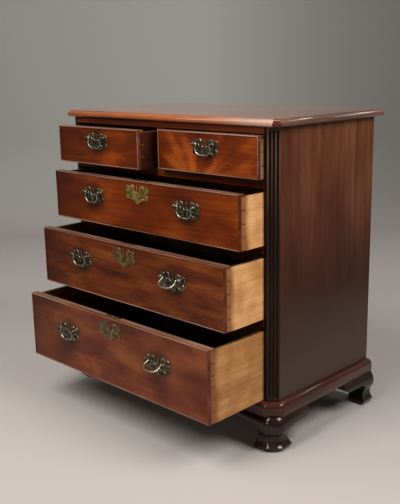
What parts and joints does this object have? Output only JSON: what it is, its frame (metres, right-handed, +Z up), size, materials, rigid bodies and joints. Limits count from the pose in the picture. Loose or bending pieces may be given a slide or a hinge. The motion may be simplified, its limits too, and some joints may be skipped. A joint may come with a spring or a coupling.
{
  "type": "chest of drawers",
  "caption": "Low wooden chest with short drawers over long ones, fluted canted corners, moulded top, ogee bracket feet and brass bail handles; drawers slide and bails swing.",
  "frame": {"origin": "on the floor under the middle of the carcass", "axes": "+X to the right seen from the front, +Y to the back, +Z up"},
  "size_m": [0.84, 0.6826, 0.84],
  "materials": {
    "mahogany": "french polished",
    "oak": "bare, aged",
    "pine": "bare, aged",
    "brass": "aged, polished on the high spots",
    "iron": "dull"
  },
  "bodies": {
    "carcass": {"top": "mahogany", "side_left": "mahogany", "side_right": "mahogany", "corner_left": "mahogany", "corner_right": "mahogany", "top_frame": "mahogany", "drawer_rails": "mahogany", "short_drawer_divider": "mahogany", "dust_boards": "pine", "bottom_board": "pine", "drawer_runners": "pine", "drawer_stops": "pine", "back_boards": "pine", "base_moulding": "mahogany", "foot_front_left": "mahogany", "foot_front_right": "mahogany", "foot_rear_left": "mahogany", "foot_rear_right": "mahogany"},
    "short_left_drawer": {"short_left_front": "mahogany", "short_left_box": "oak", "short_left_cockbeads": "mahogany", "short_left_handle_plates": "brass", "short_left_handle_posts": "brass"},
    "short_left_bail": {"short_left_bail": "brass"},
    "short_right_drawer": {"short_right_front": "mahogany", "short_right_box": "oak", "short_right_cockbeads": "mahogany", "short_right_handle_plates": "brass", "short_right_handle_posts": "brass"},
    "short_right_bail": {"short_right_bail": "brass"},
    "upper_drawer": {"upper_front": "mahogany", "upper_box": "oak", "upper_cockbeads": "mahogany", "upper_handle_plates": "brass", "upper_handle_posts": "brass", "upper_escutcheon": "brass", "upper_lock": "brass"},
    "upper_bail_left": {"upper_bail_left": "brass"},
    "upper_bail_right": {"upper_bail_right": "brass"},
    "upper_lock_bolt": {"upper_lock_bolt": "iron"},
    "middle_drawer": {"middle_front": "mahogany", "middle_box": "oak", "middle_cockbeads": "mahogany", "middle_handle_plates": "brass", "middle_handle_posts": "brass", "middle_escutcheon": "brass", "middle_lock": "brass"},
    "middle_bail_left": {"middle_bail_left": "brass"},
    "middle_bail_right": {"middle_bail_right": "brass"},
    "middle_lock_bolt": {"middle_lock_bolt": "iron"},
    "lower_drawer": {"lower_front": "mahogany", "lower_box": "oak", "lower_cockbeads": "mahogany", "lower_handle_plates": "brass", "lower_handle_posts": "brass", "lower_escutcheon": "brass", "lower_lock": "brass"},
    "lower_bail_left": {"lower_bail_left": "brass"},
    "lower_bail_right": {"lower_bail_right": "brass"},
    "lower_lock_bolt": {"lower_lock_bolt": "iron"}
  },
  "joints": [
    {"name": "short_left_slide", "type": "slide", "parent": "carcass", "child": "short_left_drawer", "axis": [0, -1, 0], "range_m": [-0.067, 0.233]},
    {"name": "short_left_bail_swing", "type": "hinge", "parent": "short_left_drawer", "child": "short_left_bail", "pos_m": [-0.1865, -0.2895, 0.773], "axis": [-1, 0, 0], "range_deg": [0, 90]},
    {"name": "short_right_slide", "type": "slide", "parent": "carcass", "child": "short_right_drawer", "axis": [0, -1, 0], "range_m": [-0.019, 0.281]},
    {"name": "short_right_bail_swing", "type": "hinge", "parent": "short_right_drawer", "child": "short_right_bail", "pos_m": [0.1865, -0.2415, 0.773], "axis": [-1, 0, 0], "range_deg": [0, 90]},
    {"name": "upper_slide", "type": "slide", "parent": "carcass", "child": "upper_drawer", "axis": [0, -1, 0], "range_m": [-0.088, 0.212]},
    {"name": "upper_bail_left_swing", "type": "hinge", "parent": "upper_drawer", "child": "upper_bail_left", "pos_m": [-0.185, -0.3105, 0.624], "axis": [-1, 0, 0], "range_deg": [0, 90]},
    {"name": "upper_bail_right_swing", "type": "hinge", "parent": "upper_drawer", "child": "upper_bail_right", "pos_m": [0.185, -0.3105, 0.624], "axis": [-1, 0, 0], "range_deg": [0, 90]},
    {"name": "upper_bolt_throw", "type": "slide", "parent": "upper_drawer", "child": "upper_lock_bolt", "axis": [0, 0, 1], "range_m": [0, 0.008]},
    {"name": "middle_slide", "type": "slide", "parent": "carcass", "child": "middle_drawer", "axis": [0, -1, 0], "range_m": [-0.142, 0.158]},
    {"name": "middle_bail_left_swing", "type": "hinge", "parent": "middle_drawer", "child": "middle_bail_left", "pos_m": [-0.185, -0.3645, 0.452], "axis": [-1, 0, 0], "range_deg": [0, 90]},
    {"name": "middle_bail_right_swing", "type": "hinge", "parent": "middle_drawer", "child": "middle_bail_right", "pos_m": [0.185, -0.3645, 0.452], "axis": [-1, 0, 0], "range_deg": [-50, 40]},
    {"name": "middle_bolt_throw", "type": "slide", "parent": "middle_drawer", "child": "middle_lock_bolt", "axis": [0, 0, 1], "range_m": [0, 0.008]},
    {"name": "lower_slide", "type": "slide", "parent": "carcass", "child": "lower_drawer", "axis": [0, -1, 0], "range_m": [-0.2, 0.1]},
    {"name": "lower_bail_left_swing", "type": "hinge", "parent": "lower_drawer", "child": "lower_bail_left", "pos_m": [-0.185, -0.4225, 0.249], "axis": [-1, 0, 0], "range_deg": [0, 90]},
    {"name": "lower_bail_right_swing", "type": "hinge", "parent": "lower_drawer", "child": "lower_bail_right", "pos_m": [0.185, -0.4225, 0.249], "axis": [-1, 0, 0], "range_deg": [-56, 34]},
    {"name": "lower_bolt_throw", "type": "slide", "parent": "lower_drawer", "child": "lower_lock_bolt", "axis": [0, 0, 1], "range_m": [0, 0.008]}
  ]
}
